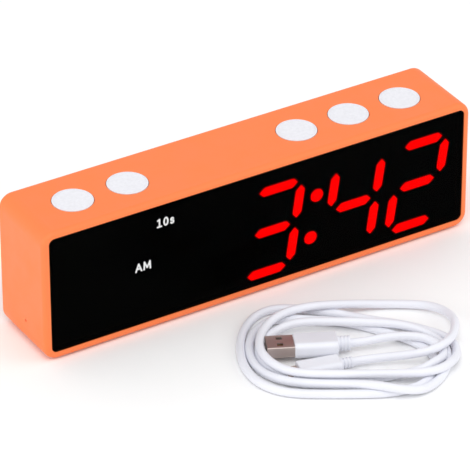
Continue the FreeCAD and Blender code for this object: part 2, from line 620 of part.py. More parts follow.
def curve_points(centre_x, centre_z, reach_x, reach_z, start, end, count):
    """Points along an oval arc, angles in degrees."""
    angles = [math.radians(start + (end - start) * i / count) for i in range(count + 1)]
    return [(centre_x + reach_x * math.cos(a), centre_z + reach_z * math.sin(a)) for a in angles]


def letter_strokes(letter):
    """Pen strokes of one letter in a box one unit high, and the letter's width."""
    if letter == "A":
        return [[(0, 0), (0.38, 1), (0.76, 0)], [(0.16, 0.33), (0.60, 0.33)]], 0.76
    if letter == "M":
        return [[(0, 0), (0.05, 1), (0.42, 0.2), (0.79, 1), (0.84, 0)]], 0.84
    if letter == "1":
        return [[(0.05, 0.86), (0.28, 1), (0.28, 0)], [(0.02, 0), (0.54, 0)]], 0.54
    if letter == "0":
        return [curve_points(0.27, 0.5, 0.25, 0.5, 0, 360, 16)], 0.54
    upper = curve_points(0.22, 0.54, 0.17, 0.16, 20, 270, 7)
    lower = curve_points(0.22, 0.19, 0.19, 0.19, 90, -160, 7)
    return [upper[:-1] + lower], 0.42


def word_prisms(word, middle_x, middle_z, front, depth, grow=0.0):
    """The letters of a word, centred, each one solid."""
    height = mm("letter_height") - mm("letter_stroke")
    gap = 0.34 * height
    widths = [letter_strokes(letter)[1] * height for letter in word]
    x = middle_x - (sum(widths) + gap * (len(word) - 1)) / 2
    solids = []
    for letter, width in zip(word, widths):
        strokes, _ = letter_strokes(letter)
        solid = None
        for points in strokes:
            placed = [(x + px * height, middle_z + (pz - 0.5) * height) for px, pz in points]
            piece = stroke(placed, mm("letter_stroke") + 2 * grow, front, depth)
            solid = piece if solid is None else solid.fuse(piece)
        solids.append(solid.removeSplitter())
        x += width + gap
    return solids


def display_frame():
    """Black frame: a face inside the ledge, a flange behind it, and a light well for each segment."""
    body = new_body("display_frame_blank", front_view=True)
    face = new_sketch(body, "-" + FRAME_BACK)
    rounded_rectangle(face, OPENING_WIDTH + " - 2 * {fit_gap}", OPENING_HEIGHT + " - 2 * {fit_gap}",
                      "{opening_round} - {fit_gap}", y=WINDOW_MIDDLE)
    pad(body, face, "{frame_depth}")
    flange = new_sketch(body, f"-({LEDGE_BACK} + {{film_gap}} + {{flange_thickness}})")
    rounded_rectangle(flange, ROOM_WIDTH + " - 2 * {fit_gap}", ROOM_HEIGHT + " - 2 * {fit_gap}",
                      ROOM_ROUND + " - {fit_gap}", y=CASE_MIDDLE)
    pad(body, flange, "{flange_thickness}")
    pilots = new_sketch(body, f"-({FRAME_BACK} - {{small_screw_length}} + {{board_thickness}})")
    for x, z in DISPLAY_SCREWS:
        circle(pilots, "{small_screw_diameter}", x, z)
    pocket(body, pilots, "{small_screw_length}")

    front, gap, ledge = film_front(), mm("inlay_gap"), -mm("inlay_ledge")
    seat, through = mm("diffuser_thickness"), mm("frame_depth") + 2
    wells = dot_prisms(front - 1, seat + 1, gap) + dot_prisms(front, through, ledge)
    for digit_x in DIGIT_X.values():
        wells += segment_prisms(SEGMENTS, digit_x, front - 1, seat + 1, gap)
        wells += segment_prisms(SEGMENTS, digit_x, front, through, ledge)
    for word, x, z in WORDS:
        wells += word_prisms(word, mm(x), mm(z), front - 1, mm("letter_thickness") + 1, gap)
        web = front + mm("letter_thickness") + mm("letter_web")
        wells.append(Part.makeCylinder(mm("letter_height") / 3, mm("frame_depth"), Vector(mm(x), web, mm(z)),
                                       Vector(0, 1, 0)))
    tool = fixed_shape("display_wells", Part.Compound(wells))
    result = doc.addObject("Part::Cut", "display_frame")
    result.Base = body
    result.Tool = tool
    return result


def digit_nodes():
    """Light inlays of the digits, lit and unlit ones apart, and of the colon."""
    front, depth = film_front(), mm("diffuser_thickness")
    for name, digit_x in DIGIT_X.items():
        lit = LIT[name]
        unlit = [segment for segment in SEGMENTS if segment not in lit]
        if lit:
            node(fixed_shape(name + "_lit", Part.Compound(segment_prisms(lit, digit_x, front, depth))))
        node(fixed_shape(name + "_unlit", Part.Compound(segment_prisms(unlit, digit_x, front, depth))))
    node(fixed_shape("colon_dots", Part.Compound(dot_prisms(front, depth))))
    for word, x, z in WORDS:
        label = "am_indicator" if word == "AM" else "ten_second_indicator"
        letters = word_prisms(word, mm(x), mm(z), front, mm("letter_thickness"))
        node(fixed_shape(label, Part.Compound(letters)))


def display_board():
    body = new_body("display_board", front_view=True)
    outline = new_sketch(body, "-" + DISPLAY_BOARD_BACK)
    rounded_rectangle(outline, OPENING_WIDTH + " - 6 * {fit_gap}", OPENING_HEIGHT + " - 6 * {fit_gap}",
                      "{opening_round}", y=WINDOW_MIDDLE)
    pad(body, outline, "{display_board_thickness}")
    holes = new_sketch(body, "-" + FRAME_BACK)
    for x, z in DISPLAY_SCREWS:
        circle(holes, "{small_screw_diameter} + {fit_gap}", x, z)
    pocket(body, holes, "{display_board_thickness} + 1")
    return body


def display_leds():
    """One light chip behind each segment, dot and indicator."""
    width, height, thickness = mm("led_width"), mm("led_height"), mm("led_thickness")
    board_front = value(FRAME_BACK) - mm("case_depth") / 2
    places = [(mm(x), mm(z)) for _, x, z in WORDS] + colon_places()
    for digit_x in DIGIT_X.values():
        for segment in SEGMENTS:
            outline = segment_outline(segment, digit_x)
            places.append((sum(x for x, _ in outline) / 6, sum(z for _, z in outline) / 6))
    chips = [Part.makeBox(width, thickness, height,
                          Vector(x - width / 2, board_front - thickness, z - height / 2))
             for x, z in places]
    return fixed_shape("display_leds", Part.Compound(chips))


def display_screws():
    pieces = []
    for x, z in DISPLAY_SCREWS:
        base = (x, f"{DISPLAY_BOARD_BACK} - {{case_depth}} / 2 + {{small_screw_head}} / 3", z)
        pieces.append(screw(f"display_screw_{len(pieces)}", "{small_screw_diameter}", "{small_screw_head}",
                            "{small_screw_length}", "{small_screw_head} / 3", base, (0, -1, 0)))
    return group("display_screws", pieces)


# ---------------------------------------------------------------- boards and what sits on them

def board_with_holes(label, width, depth, x, y, bottom, screws):
    """A circuit board lying flat, with clearance holes for its screws."""
    body = new_body(label)
    outline = new_sketch(body, bottom)
    rectangle(outline, width, depth, x, y)
    pad(body, outline, "{board_thickness}")
    holes = new_sketch(body, f"({bottom}) + {{board_thickness}}")
    for screw_x, screw_y in screws:
        circle(holes, "{small_screw_diameter} + {fit_gap}", screw_x, screw_y)
    pocket(body, holes, "{board_thickness} + 1")
    return body


def board_screws(label, screws, head_base, direction):
    """Small screws through a lying board; direction is +1 for shafts that point up."""
    pieces = []
    for x, y in screws:
        pieces.append(screw(f"{label}_{len(pieces)}", "{small_screw_diameter}", "{small_screw_head}",
                            "{small_screw_length}", "{small_screw_head} / 3", (x, y, head_base),
                            (0, 0, direction)))
    return group(label, pieces)


def chip(label, side, height, x, y, pins_per_side):
    """A square chip with a row of pins on two sides and a marker dimple."""
    package = box(label + "_package", (side, side, height),
                  (f"{x} - {side} / 2", f"{y} - {side} / 2", MAIN_BOARD_TOP + " + {chip_lift}"))
    pieces = [package]
    for i in range(pins_per_side):
        step = f"({i} - {(pins_per_side - 1) / 2}) * {side} / {pins_per_side}"
        pieces.append(box(f"{label}_pin_{i}",
                          (f"{side} + 2 * {{chip_pin_reach}}", "{chip_pin_width}", "{chip_pin_height}"),
                          (f"{x} - {side} / 2 - {{chip_pin_reach}}",
                           f"{y} + {step} - {{chip_pin_width}} / 2", MAIN_BOARD_TOP)))
    top = MAIN_BOARD_TOP + f" + {{chip_lift}} + {height}"
    dimple = cylinder(label + "_dimple", "{chip_dimple_diameter}", "2 * {chip_dimple_depth}",
                      (f"{x} - {side} * 0.3", f"{y} + {side} * 0.3", top + " - {chip_dimple_depth}"))
    return cut(label, fuse(label + "_blank", pieces), [dimple])


def usb_port():
    """Receptacle at the back edge of the main board, open towards the back."""
    mouth = COVER_Y + " - {fit_gap}"
    low = ("{port_x} - {port_width} / 2", mouth + " - {port_depth}", MAIN_BOARD_TOP)
    outer = box("usb_port_outer", ("{port_width}", "{port_depth}", "{port_height}"), low)
    floor_y = low[1] + " + 2 * {port_wall}"
    inner = box("usb_port_inner",
                ("{port_width} - 2 * {port_wall}", "{port_depth}", "{port_height} - 2 * {port_wall}"),
                (low[0] + " + {port_wall}", floor_y, MAIN_BOARD_TOP + " + {port_wall}"))
    side_gap = "({port_wall} + {port_tongue_gap})"
    tongue = box("usb_port_tongue",
                 ("{port_width} - 2 * " + side_gap, "{port_depth} - 2 * {port_wall} - {tongue_setback}",
                  "{port_tongue_thickness}"),
                 (low[0] + " + " + side_gap, floor_y,
                  MAIN_BOARD_TOP + " + ({port_height} - {port_tongue_thickness}) / 2"))
    return cut("usb_port_shell", outer, [inner]), tongue


def display_header():
    """Right-angle pin strip between the main board and the display board."""
    board_back = DISPLAY_BOARD_BACK + " - {case_depth} / 2"
    board_edge = "({main_board_y} - {main_board_depth} / 2)"
    strip = box("display_header_strip", ("{header_length}", "{header_side}", "{header_side}"),
                ("-{header_length} / 2", board_edge, MAIN_BOARD_TOP))
    pieces = [strip]
    for i in range(8):
        pieces.append(box(f"display_header_pin_{i}",
                          ("{header_pin}", f"{board_edge} - ({board_back})", "{header_pin}"),
                          (f"({i} - 3.5) * {{header_pitch}} - {{header_pin}} / 2", board_back,
                           MAIN_BOARD_TOP + " + ({header_side} - {header_pin}) / 2")))
    return fuse("display_header", pieces)


def buzzer():
    """Round sounder that lies on the main board, with a hole in its top."""
    base = ("{buzzer_x}", "{main_board_y} + {buzzer_offset}", MAIN_BOARD_TOP)
    can = cylinder("buzzer_can", "{buzzer_diameter}", "{buzzer_height}", base)
    hole_low = MAIN_BOARD_TOP + " + {buzzer_height} - {buzzer_hole_depth}"
    hole = cylinder("buzzer_hole", "{buzzer_hole_diameter}", "{buzzer_hole_depth} + 1",
                    base[:2] + (hole_low,))
    return cut("buzzer", can, [hole])


SOCKET_SIZE = ("{socket_length}", "{socket_depth}", "{socket_height}")
RIBBON_X = "(-{main_board_width} / 2 + {socket_inset})"
RIBBON_Y = "({main_board_y} + 4)"
BATTERY_SOCKET_X = "({cell_x} + {cell_length} / 2 + {battery_socket_gap})"
MIC_SOCKET_X = "(-{main_board_width} / 2 + {socket_inset})"


def board_sockets():
    """Wire sockets: battery, microphone, and the two ends of the button ribbon."""
    places = [(BATTERY_SOCKET_X, CELL_Y, MAIN_BOARD_TOP), (MIC_SOCKET_X, "{mic_y}", MAIN_BOARD_TOP),
              (RIBBON_X, RIBBON_Y, MAIN_BOARD_TOP),
              (RIBBON_X, RIBBON_Y, BUTTON_BOARD_TOP + " - {board_thickness} - {socket_height}")]
    pieces = [box(f"socket_{i}", SOCKET_SIZE, (x + " - {socket_length} / 2", y + " - {socket_depth} / 2", z))
              for i, (x, y, z) in enumerate(places)]
    return group("board_sockets", pieces)


def button_ribbon():
    """Flat cable between the main board's and the button board's sockets."""
    low = MAIN_BOARD_TOP + " + {socket_height}"
    high = BUTTON_BOARD_TOP + " - {board_thickness} - {socket_height}"
    return box("button_ribbon", ("{ribbon_width}", "{ribbon_thickness}", f"{high} - ({low})"),
               (RIBBON_X + " - {ribbon_width} / 2", RIBBON_Y + " - {ribbon_thickness} / 2", low))


def tube_along(points, diameter):
    """A tube through the points, its corners rounded by the largest tangent arcs; also the radii."""
    edges, radii, start = [], [], points[0]
    for before, corner, after in zip(points, points[1:], points[2:]):
        back, ahead = (before - corner), (after - corner)
        reach = 0.45 * min(back.Length, ahead.Length)
        half_turn = (math.pi - back.getAngle(ahead)) / 2
        radii.append(reach / math.tan(half_turn))
        first = corner + back.normalize() * reach
        last = corner + ahead.normalize() * reach
        inward = (back + ahead).normalize()
        middle = corner + inward * (radii[-1] / math.cos(half_turn) - radii[-1])
        edges.append(Part.LineSegment(start, first).toShape())
        edges.append(Part.Arc(first, middle, last).toShape())
        start = last
    edges.append(Part.LineSegment(start, points[-1]).toShape())
    path = Part.Wire(edges)
    direction = (points[1] - points[0]).normalize()
    section = Part.Wire([Part.makeCircle(diameter / 2, points[0], direction)])
    tube = path.makePipeShell([section], True, False)
    expected = math.pi * diameter ** 2 / 4 * path.Length
    if abs(tube.Volume - expected) > 0.01 * expected:
        raise RuntimeError("tube volume differs from its section times its length")
    return tube, radii, path.Length


def battery_leads():
    """Two wires from the cell's end down to the battery socket."""
    cell_end = value("{cell_x} + {cell_length} / 2")
    socket_x, socket_top = value(BATTERY_SOCKET_X), value(MAIN_BOARD_TOP) + mm("socket_height")
    wires = []
    for side in (-1, 1):
        y = value(CELL_Y) + side * mm("wire_spacing") / 2
        height = mm("cell_height") + mm("wire_rise") + side * mm("wire_step") / 2
        points = [Vector(cell_end, y, height), Vector(socket_x, y, height), Vector(socket_x, y, socket_top)]
        tube, _, _ = tube_along(points, mm("wire_diameter"))
        wires.append(tube)
    return fixed_shape("battery_leads", Part.Compound(wires))


def battery_cell():
    """Rechargeable cell lying along the case, with a raised positive end."""
    end = "{cell_x} - {cell_length} / 2"
    place = (CELL_Y, "{cell_height}")
    can = cylinder("cell_can", "{cell_diameter}", "{cell_length} - {cell_knob_height}",
                   (end + " + {cell_knob_height}",) + place, (1, 0, 0))
    knob = cylinder("cell_knob", "{cell_knob_diameter}", "{cell_knob_height}", (end,) + place, (1, 0, 0))
    return fuse("battery_cell", [can, knob])


def battery_cradle():
    """Half-round trough on the rear cover that the cell lies in."""
    wall = "{cradle_wall}"
    low = ("{cell_x} - {cell_length} / 2 - " + wall, CELL_Y + " - {cell_diameter} / 2 - " + wall,
           "{cell_height} - {cell_diameter} / 2 - " + wall)
    block = box("cradle_block", ("{cell_length} + 2 * " + wall, COVER_Y + " - (" + low[1] + ")",
                                 "{cell_diameter} / 2 + " + wall), low)
    bore = cylinder("cradle_bore", "{cell_diameter}", "{cell_length}",
                    ("{cell_x} - {cell_length} / 2", CELL_Y, "{cell_height}"), (1, 0, 0))
    return cut("battery_cradle", block, [bore])


def microphone_parts():
    """Microphone behind its pinhole, its rubber boot and its wires to the main board."""
    wall_inside = "-{case_width} / 2 + {wall}"
    place = ("{mic_y}", "{mic_height}")
    along = (1, 0, 0)
    mic_base = (wall_inside + " + {boot_wall}",) + place
    mic = cylinder("microphone", "{mic_diameter}", "{mic_thickness}", mic_base, along)
    boot_blank = cylinder("boot_blank", MIC_BOOT, "{mic_thickness} + {boot_wall}",
                          (wall_inside,) + place, along)
    seat = cylinder("boot_seat", "{mic_diameter}", "{mic_thickness} + 1", mic_base, along)
    sound_hole = cylinder("boot_hole", "{mic_hole_diameter}", "{boot_wall} + 2",
                          (wall_inside + " - 1",) + place, along)
    boot = cut("microphone_boot", boot_blank, [seat, sound_hole])
    start = f"({wall_inside} + {{boot_wall}} + {{mic_thickness}})"
    wires = [cylinder(f"mic_wire_{i}", "{wire_diameter} * 0.8",
                      f"{MIC_SOCKET_X} - {{socket_length}} / 2 - {start}",
                      (start, f"{{mic_y}} + {offset}", "{mic_height}"), along)
             for i, offset in enumerate(("(-1)", "1"))]
    return mic, boot, group("microphone_leads", wires)


# ---------------------------------------------------------------- buttons

def switch_housings():
    """Five push switches on the button board, each with a well for its plunger."""
    pieces = []
    for number, x in BUTTON_X.items():
        body = box(f"switch_{number}_body", ("{switch_side}", "{switch_side}", "{switch_height}"),
                   (f"{x} - {{switch_side}} / 2", "{button_row_y} - {switch_side} / 2", BUTTON_BOARD_TOP))
        well = cylinder(f"switch_{number}_well", "{plunger_diameter} + 2 * {running_gap}", "3",
                        (x, "{button_row_y}", BUTTON_BOARD_TOP + " + {switch_height} - {well_depth}"))
        pieces.append(cut(f"switch_{number}", body, [well]))
    return group("switch_housings", pieces)


def switch_plunger(number):
    return cylinder(f"switch_plunger_{number}", "{plunger_diameter}", "{plunger_height} + {plunger_depth}",
                    (BUTTON_X[number], "{button_row_y}",
                     BUTTON_BOARD_TOP + " + {switch_height} - {plunger_depth}"))


def button_cap(number):
    """Round cap with a raised rim, a flange behind the case's top and a post over its switch."""
    body = new_body(f"button_cap_{number}")
    x, y = BUTTON_X[number], "{button_row_y}"
    bottom = BUTTON_BOARD_TOP + " + {switch_height} + {plunger_height}"
    top = CASE_TOP + " + {cap_proud}"
    flange = new_sketch(body, bottom)
    circle(flange, "{cap_diameter} + 2 * {cap_flange}", x, y)
    pad(body, flange, "{cap_flange_thickness}")
    blank = new_sketch(body, bottom)
    circle(blank, "{cap_diameter}", x, y)
    pad(body, blank, f"{top} - ({bottom})")
    fillet(body, edges_where(body, lambda b: level(b, value(top))), "{cap_edge_round}")
    dish = new_sketch(body, top)
    circle(dish, "{cap_diameter} - 2 * {cap_rim}", x, y)
    pocket(body, dish, "{cap_dish}")
    hollow = new_sketch(body, f"{top} - {{cap_dish}} - {{cap_skin}}")
    circle(hollow, "{cap_diameter} - 2 * {cap_wall}", x, y)
    circle(hollow, "{cap_post_diameter}", x, y)
    pocket(body, hollow, f"{top} - {{cap_dish}} - {{cap_skin}} - ({bottom}) + 1")
    return body


# ---------------------------------------------------------------- USB lead

def lead_placement():
    """The lead's own frame: u along its length and v away, turned about the table's normal."""
    return Placement(Vector(0, -mm("case_depth") / 2, 0), Rotation(Vector(0, 0, 1), mm("lead_turn")))


def plug_placement(plug, roll):
    """Frame of a plug: z from the cord's end towards its tip, y up, rolled about its axis."""
    yaw = math.radians(mm(plug + "_yaw"))
    axis = Vector(-math.cos(yaw), -math.sin(yaw), 0)
    turn = Rotation(axis, roll)
    up = turn.multVec(Vector(0, 0, 1))
    base = Vector(mm(plug + "_u"), mm(plug + "_v"), mm(plug + "_axis_height"))
    return lead_placement().multiply(Placement(base, Rotation(up.cross(axis), up, axis, "ZXY")))


def plug_grip(label, width, thickness, length, relief_diameter, placement):
    """Moulded grip with its ribbed strain relief, in one piece."""
    body = new_body(label)
    grip = new_sketch(body, "{relief_length}")
    rounded_rectangle(grip, width, thickness, "{grip_round}")
    pad(body, grip, length)
    ends = edges_where(body, lambda b: level(b, mm("relief_length")) or
                       level(b, value("{relief_length} + " + length)))
    fillet(body, ends, "{grip_end_round}")
    relief = new_sketch(body, "0")
    circle(relief, relief_diameter)
    pad(body, relief, "{relief_length} + 0.5")
    for step in (1, 2, 3):
        groove = new_sketch(body, f"{{relief_length}} * {step} / 3.6")
        circle(groove, relief_diameter + " + 1")
        circle(groove, relief_diameter + " - 2 * {relief_groove_depth}")
        pocket(body, groove, "{relief_groove}")
    body.Placement = placement
    return body


def plug_shell(label, width, thickness, length, wall, base, placement):
    """Open metal shell of a plug."""
    body = new_body(label)
    outer = new_sketch(body, base)
    rounded_rectangle(outer, width, thickness, "{shell_round}")
    rounded_rectangle(outer, width + " - 2 * " + wall, thickness + " - 2 * " + wall, "{shell_inner_round}")
    pad(body, outer, length)
    body.Placement = placement
    return body


def usb_a_plug():
    placement = plug_placement("usb_a", mm("usb_a_roll"))
    tip_base = "{relief_length} + {usb_a_grip_length}"
    node(plug_grip("usb_a_grip", "{usb_a_grip_width}", "{usb_a_grip_thickness}", "{usb_a_grip_length}",
                   "{usb_a_relief_diameter}", placement))
    shell = plug_shell("usb_a_shell", "{usb_a_width}", "{usb_a_thickness}", "{usb_a_length}", "{usb_a_wall}",
                       tip_base, placement)
    windows = new_sketch(shell, "-({usb_a_thickness} / 2 - {usb_a_wall} - 0.3)", "XZ_Plane")
    for side in ("-", ""):
        rectangle(windows, "{usb_a_window}", "{usb_a_window}", side + "{usb_a_window_spacing} / 2",
                  tip_base + " + {usb_a_window_place}")
    pocket(shell, windows, "2")
    node(shell)
    tongue = new_body("usb_a_tongue")
    face = new_sketch(tongue, tip_base)
    rectangle(face, "{usb_a_width} - 2 * ({usb_a_wall} + {tongue_side_gap})", "{plug_tongue_thickness}", "0",
              "{plug_tongue_thickness} / 2 - {usb_a_thickness} / 2 + {usb_a_wall}")
    pad(tongue, face, "{usb_a_length} - {tongue_setback}")
    tongue.Placement = placement
    node(tongue)
    contacts = new_body("usb_a_contacts")
    for i in range(4):
        strip = new_sketch(contacts, tip_base)
        rectangle(strip, "{contact_width}", "{contact_thickness}", f"({i} - 1.5) * {{contact_pitch}}",
                  "{plug_tongue_thickness} - {usb_a_thickness} / 2 + {usb_a_wall} + {contact_thickness} / 2")
        feature = pad(contacts, strip, "{usb_a_length} - {contact_setback}")
        feature.AllowMultiFace = True
    contacts.Placement = placement
    node(contacts)


def small_plug():
    placement = plug_placement("small_plug", 0)
    tip_base = "{relief_length} + {small_grip_length}"
    node(plug_grip("small_plug_grip", "{small_grip_width}", "{small_grip_thickness}", "{small_grip_length}",
                   "{small_relief_diameter}", placement))
    node(plug_shell("small_plug_shell", "{small_plug_width}", "{small_plug_thickness}",
                    "{small_plug_length}", "{small_plug_wall}", tip_base, placement))
    tongue = new_body("small_plug_tongue")
    face = new_sketch(tongue, tip_base)
    rectangle(face, "{small_plug_width} - 2 * ({small_plug_wall} + {small_tongue_side_gap})",
              "{small_tongue_thickness}", "0",
              "({small_tongue_thickness} - {small_plug_thickness}) / 2 + {small_plug_wall}")
    pad(tongue, face, "{small_plug_length} - {tongue_setback}")
    tongue.Placement = placement
    node(tongue)


def lead_tail(label, plug):
    """Cord from a plug's strain relief to the coil, which it meets squarely."""
    yaw = math.radians(mm(plug + "_yaw"))
    height = mm(plug + "_axis_height")
    start = Vector(mm(plug + "_u"), mm(plug + "_v"), height)
    bend = start + Vector(math.cos(yaw), math.sin(yaw), 0) * mm("tail_run")
    end = Vector(mm("nest_right"), bend.y, height)
    tube, radii, length = tube_along([start, bend, end], mm("cord_diameter"))
    print(label, "arc radii", [round(r, 1) for r in radii], "length", round(length, 1))
    return fixed_shape(label, tube, lead_placement())


def lead_coil():
    """Outer shape of the coiled cord, with the clear space in its middle where the plugs lie."""
    body = new_body("lead_coil")
    outline = new_sketch(body)
    rounded_rectangle(outline, "{coil_length}", "{coil_width}", "{coil_round}",
                      "{coil_middle_u}", "{coil_middle_v}")
    rounded_rectangle(outline, f"{{nest_right}} - {NEST_LEFT}", "{nest_far} - {nest_near}", "{nest_round}",
                      f"({{nest_right}} + {NEST_LEFT}) / 2", "({nest_far} + {nest_near}) / 2")
    pad(body, outline, "{coil_height}")
    body.Placement = lead_placement()
    return body


# ---------------------------------------------------------------- build

case = case_shell()
case_openings(case)
node(case)
for make in (rear_cover, rear_cover_screws, rubber_feet, front_lens, lens_gasket, display_frame):
    node(make())
digit_nodes()
for make in (display_board, display_leds, display_screws):
    node(make())
node(board_with_holes("main_board", "{main_board_width}", "{main_board_depth}", "0", "{main_board_y}",
                      "{main_board_height}", MAIN_BOARD_SCREWS))
node(board_screws("main_board_screws", MAIN_BOARD_SCREWS, MAIN_BOARD_TOP + " + {small_screw_head} / 3", -1))
node(chip("mcu_chip", "{mcu_side}", "{mcu_height}", "{mcu_x}", "{main_board_y} + 4", 8))
node(chip("driver_chip", "{driver_side}", "{driver_height}", "{driver_x}", "{main_board_y} + 1", 6))
for piece in usb_port():
    node(piece)
for make in (display_header, buzzer, board_sockets, button_ribbon, battery_cell, battery_cradle,
             battery_leads):
    node(make())
for piece in microphone_parts():
    node(piece)
node(board_with_holes("button_board", "{button_board_width}", "{button_board_depth}", "0",
                      "{button_board_y}", BUTTON_BOARD_TOP + " - {board_thickness}", BUTTON_BOARD_SCREWS))
node(board_screws("button_board_screws", BUTTON_BOARD_SCREWS,
                  BUTTON_BOARD_TOP + " - {board_thickness} - {small_screw_head} / 3", 1))
node(switch_housings())
for number in BUTTON_X:
    node(button_cap(number))
    node(switch_plunger(number))
usb_a_plug()
small_plug()
node(lead_coil())
node(lead_tail("lead_tail_usb_a", "usb_a"))
node(lead_tail("lead_tail_small_plug", "small_plug"))

# ---------------------------------------------------------------- checks and export

doc.recompute()
for item in doc.Objects:
    if "Invalid" in item.State or "Error" in item.State:
        raise RuntimeError(f"{item.Label}: {item.State}")
for piece in NODES:
    if piece.Shape.isNull() or not piece.Shape.isValid() or piece.Shape.Volume <= 0:
        raise RuntimeError(f"{piece.Label}: shape is null or not valid")

os.makedirs("parts", exist_ok=True)
for piece in NODES:
    piece.Shape.exportStep(f"parts/{piece.Label}.step")
print(len(NODES), "sub-parts")
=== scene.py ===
"""Looks of the desk alarm clock: camera, the coiled USB lead, materials, light and floor.

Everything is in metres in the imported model's frame: +X to the right along the case, +Y to the back,
+Z up, with the origin on the table under the middle of the case.
"""
import math

import bpy
from mathutils import Matrix, Vector


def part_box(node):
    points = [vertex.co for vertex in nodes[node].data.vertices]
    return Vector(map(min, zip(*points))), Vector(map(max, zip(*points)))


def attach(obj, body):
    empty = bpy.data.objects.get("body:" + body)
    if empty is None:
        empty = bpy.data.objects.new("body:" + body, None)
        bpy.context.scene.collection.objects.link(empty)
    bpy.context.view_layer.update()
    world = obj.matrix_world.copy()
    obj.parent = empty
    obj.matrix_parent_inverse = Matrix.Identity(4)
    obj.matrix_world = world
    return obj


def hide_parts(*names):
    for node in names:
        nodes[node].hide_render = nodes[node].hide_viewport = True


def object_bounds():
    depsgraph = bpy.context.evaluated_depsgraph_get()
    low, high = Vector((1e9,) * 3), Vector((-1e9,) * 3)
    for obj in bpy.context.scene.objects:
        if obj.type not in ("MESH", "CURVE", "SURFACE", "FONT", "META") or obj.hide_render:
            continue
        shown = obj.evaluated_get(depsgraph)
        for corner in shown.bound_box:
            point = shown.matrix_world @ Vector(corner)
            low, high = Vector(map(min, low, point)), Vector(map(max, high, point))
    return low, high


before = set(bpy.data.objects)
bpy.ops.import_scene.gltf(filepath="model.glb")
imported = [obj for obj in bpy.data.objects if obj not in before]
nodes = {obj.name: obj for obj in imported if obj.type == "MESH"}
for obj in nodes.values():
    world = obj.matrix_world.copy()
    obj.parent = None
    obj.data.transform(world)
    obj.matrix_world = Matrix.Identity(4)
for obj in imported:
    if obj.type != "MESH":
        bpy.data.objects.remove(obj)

MM = 0.001
cad_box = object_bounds()
case_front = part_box("case_shell")[0].y


# ---------------------------------------------------------------- camera

CAMERA_PLACE = Vector((-0.73514, -1.22013, 0.91481))
CAMERA_AIM = Vector((-0.01264, -0.0185, 0.03183))
CAMERA_ROLL = math.radians(-0.153)
CAMERA_LENS = 316.8  # mm, on a sensor of the width below
CAMERA_SENSOR = 36.0
CAMERA_NEAREST = 0.05
CAMERA_FARTHEST = 20.0


def looking(place, aim):
    """The transform of a camera or light at place that looks at aim."""
    turn = (aim - place).to_track_quat("-Z", "Y").to_matrix().to_4x4()
    return Matrix.Translation(place) @ turn


def make_camera():
    data = bpy.data.cameras.new("camera")
    data.sensor_width = CAMERA_SENSOR
    data.lens = CAMERA_LENS
    data.clip_start = CAMERA_NEAREST
    data.clip_end = CAMERA_FARTHEST
    camera = bpy.data.objects.new("camera", data)
    bpy.context.scene.collection.objects.link(camera)
    camera.matrix_world = looking(CAMERA_PLACE, CAMERA_AIM) @ Matrix.Rotation(CAMERA_ROLL, 4, "Z")
    bpy.context.scene.camera = camera


make_camera()


# ---------------------------------------------------------------- coiled lead

CORD_DIAMETER = 3.5 * MM
CORD_ROUNDNESS = 7       # bevel steps around the cord
CORD_STEPS = 10          # steps along the cord between two points of its line
CORD_SPLINE_ORDER = 3
LEAD_TURN = math.radians(-31.0)

# The lead's line in its own frame, in millimetres: u along the coil, v from the viewer towards the
# case, and height above the table. A height of 1.75 lies on the table.
FROM_SMALL_PLUG = [
    (35.3, -54.5, 2.85), (40.1, -53.1, 2.9), (47.5, -52.6, 3.6), (55, -53.4, 5.0), (61, -54.2, 6.5),
    (66.3, -53.8, 7.8), (70.2, -51, 8.0), (73, -46.9, 7.3), (75.2, -41.8, 6.4), (76.5, -36.2, 5.7),
    (77, -30.5, 5.2), (76.4, -25, 4.4), (73, -18, 3.3), (66.5, -13, 2.4), (57, -11.7, 2.0),
    (47, -12, 2.2), (40, -13.4, 3.2), (33, -15.4, 4.4),
]
UPPER_TURN = [
    (26, -17.2, 5.3), (19, -18.3, 5.3), (12, -20.9, 5.3), (7.5, -24, 5.3), (4, -27.9, 5.3),
    (1.3, -32.5, 5.3), (-0.6, -38, 5.3), (-1.4, -44, 5.3), (-0.8, -50, 5.3), (1.2, -55.5, 5.3),
    (5, -60.8, 5.3), (10.5, -64.8, 5.3), (18, -66.5, 5.3), (30, -66.8, 5.3), (42, -66.8, 5.3),
    (54, -66.6, 5.3), (62.5, -66, 5.3), (69, -63.8, 5.3), (73.8, -59, 5.1), (76.6, -52, 3.6),
]
OUTER_TURN = [
    (77, -45, 1.9), (76, -39.5, 1.75), (73, -35.3, 1.75), (68.5, -32, 1.75), (62, -28.7, 1.75),
    (55, -25.8, 1.75), (46, -23.6, 1.75), (38, -20.9, 1.75), (30, -18.3, 1.75), (22, -16.2, 1.75),
    (14, -14.6, 1.75), (7, -14.2, 1.75), (1.5, -16, 1.75), (-2.8, -20, 1.75), (-5.9, -25.5, 1.75),
    (-8, -32, 1.75), (-8.9, -39.5, 1.75), (-8.8, -47, 1.75), (-7.8, -54, 1.75), (-5.8, -60.5, 1.75),
    (-2.6, -66.3, 1.75), (2, -70.8, 1.75), (8, -74, 1.75), (16, -75.3, 1.75), (26, -75.5, 1.75),
    (38, -75.5, 1.75), (48, -75, 1.75), (55.5, -73, 1.75), (61.5, -69.7, 1.75), (66, -64.2, 1.75),
    (68.5, -57.5, 1.75), (68.7, -51.5, 1.75),
]
